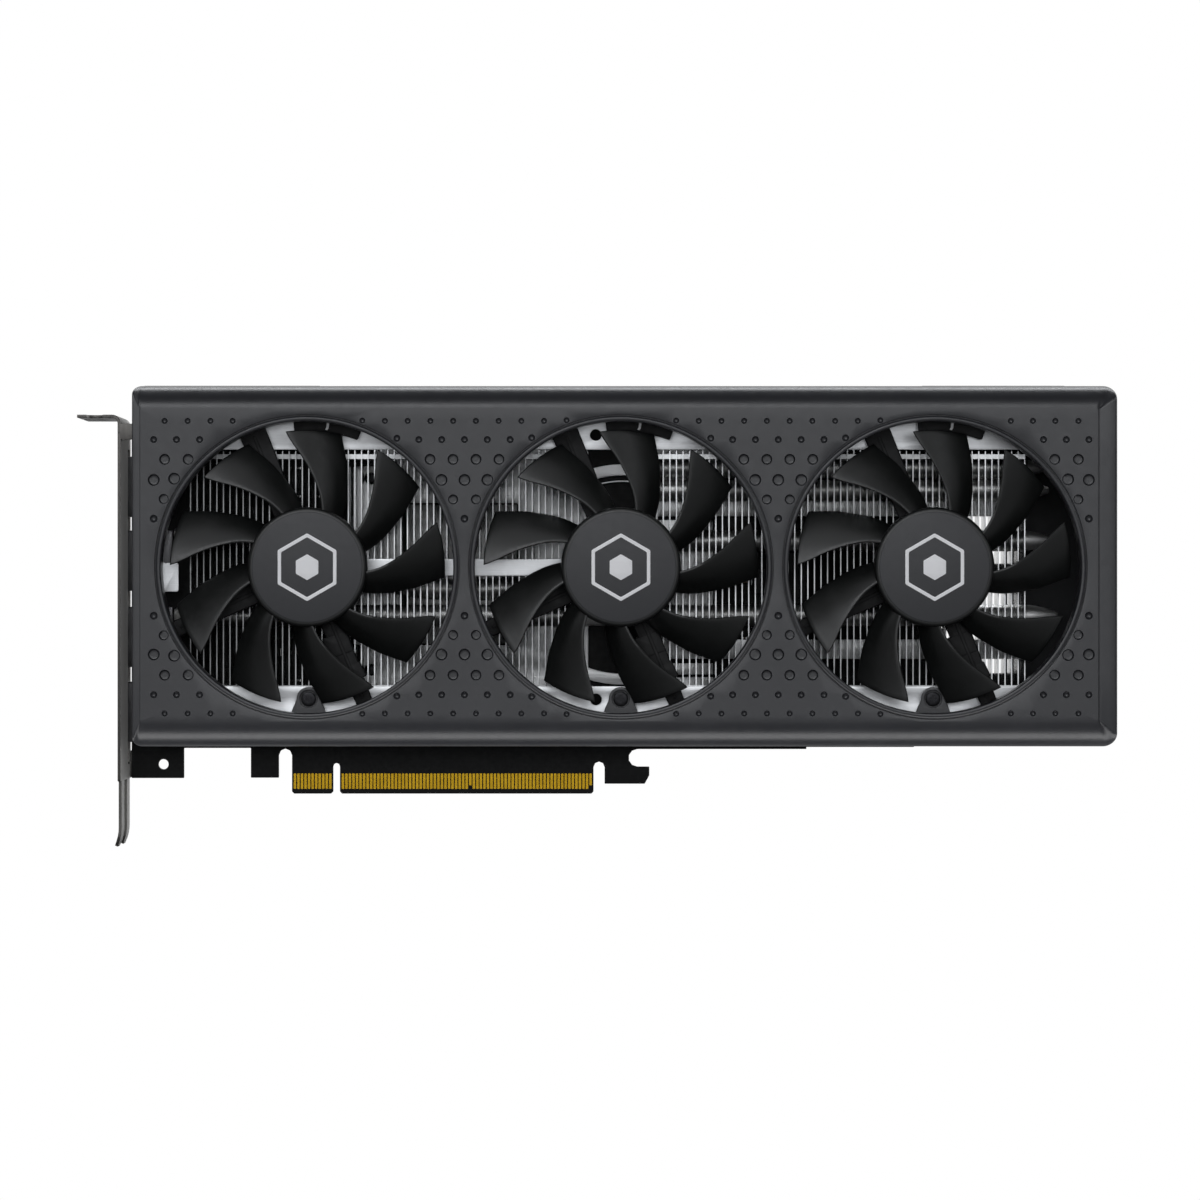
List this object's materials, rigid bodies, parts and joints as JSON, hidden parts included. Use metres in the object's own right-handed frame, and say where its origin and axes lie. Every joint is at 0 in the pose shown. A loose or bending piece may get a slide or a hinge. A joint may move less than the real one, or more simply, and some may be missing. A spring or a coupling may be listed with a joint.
{
  "type": "graphics card",
  "caption": "Dual-slot graphics card: dimpled dark cover over axial fans, finned heatsink, black board with gold edge contacts and a rear bracket.",
  "frame": {"origin": "middle of the long contact section's bottom edge, half way through the board's thickness", "axes": "+X along the card away from the bracket, -Y out of the fan side, +Z away from the slot towards the power socket"},
  "size_m": [0.288, 0.0419, 0.1282],
  "materials": {
    "cover_plastic": "satin",
    "fan_plastic": "satin",
    "fan_hub_label": "satin",
    "circuit_board": "satin",
    "gold_contacts": "gloss",
    "bracket_metal": "satin",
    "backplate_metal": "satin",
    "fin_aluminium": "satin",
    "sheet_aluminium": "satin",
    "pipe_nickel": "gloss",
    "steel": "gloss",
    "socket_shell": "satin",
    "socket_plastic": "satin",
    "magnet": "matte",
    "winding": "satin",
    "bearing_bronze": "satin",
    "chip_black": "matte",
    "silicon": "polished",
    "substrate": "satin",
    "thermal_pad": "matte",
    "screw_black": "satin"
  },
  "bodies": {
    "card": {"shroud": "cover_plastic", "backplate": "backplate_metal", "pcb": "circuit_board", "edge_contacts_front_long": "gold_contacts", "edge_contacts_front_short": "gold_contacts", "edge_contacts_back_long": "gold_contacts", "edge_contacts_back_short": "gold_contacts", "io_bracket": "bracket_metal", "display_port_1": "socket_shell", "display_port_2": "socket_shell", "display_port_3": "socket_shell", "hdmi_port": "socket_shell", "power_connector": "socket_plastic", "gpu_substrate": "substrate", "gpu_die": "silicon", "memory_chip_1": "chip_black", "memory_chip_2": "chip_black", "memory_chip_3": "chip_black", "memory_chip_4": "chip_black", "thermal_pad_left": "thermal_pad", "thermal_pad_right": "thermal_pad", "heatsink_base": "sheet_aluminium", "cold_plate": "pipe_nickel", "fin_stack_left": "fin_aluminium", "fin_stack_right": "fin_aluminium", "heat_pipe_1": "pipe_nickel", "heat_pipe_2": "pipe_nickel", "heat_pipe_3": "pipe_nickel", "heat_pipe_4": "pipe_nickel", "heatsink_frame": "sheet_aluminium", "heatsink_center_bar": "sheet_aluminium", "spring_screw_1": "screw_black", "spring_screw_2": "screw_black", "spring_screw_3": "screw_black", "spring_screw_4": "screw_black", "shroud_screw_left": "screw_black", "shroud_screw_center": "screw_black", "shroud_screw_right": "screw_black", "fan_left_frame": "fan_plastic", "fan_left_stator": "winding", "fan_left_bearing": "bearing_bronze", "fan_center_frame": "fan_plastic", "fan_center_stator": "winding", "fan_center_bearing": "bearing_bronze", "fan_right_frame": "fan_plastic", "fan_right_stator": "winding", "fan_right_bearing": "bearing_bronze"},
    "fan_left_rotor": {"fan_left_impeller": "fan_plastic", "fan_left_hub_label": "fan_hub_label", "fan_left_shaft": "steel", "fan_left_magnet_ring": "magnet"},
    "fan_center_rotor": {"fan_center_impeller": "fan_plastic", "fan_center_hub_label": "fan_hub_label", "fan_center_shaft": "steel", "fan_center_magnet_ring": "magnet"},
    "fan_right_rotor": {"fan_right_impeller": "fan_plastic", "fan_right_hub_label": "fan_hub_label", "fan_right_shaft": "steel", "fan_right_magnet_ring": "magnet"}
  },
  "joints": [
    {"name": "fan_left_spin", "type": "hinge", "parent": "card", "child": "fan_left_rotor", "pos_m": [-0.04346, -0.0309, 0.06381], "axis": [0, -1, 0], "continuous": true},
    {"name": "fan_center_spin", "type": "hinge", "parent": "card", "child": "fan_center_rotor", "pos_m": [0.04345, -0.0309, 0.06381], "axis": [0, -1, 0], "continuous": true},
    {"name": "fan_right_spin", "type": "hinge", "parent": "card", "child": "fan_right_rotor", "pos_m": [0.13036, -0.0309, 0.06381], "axis": [0, -1, 0], "continuous": true}
  ]
}
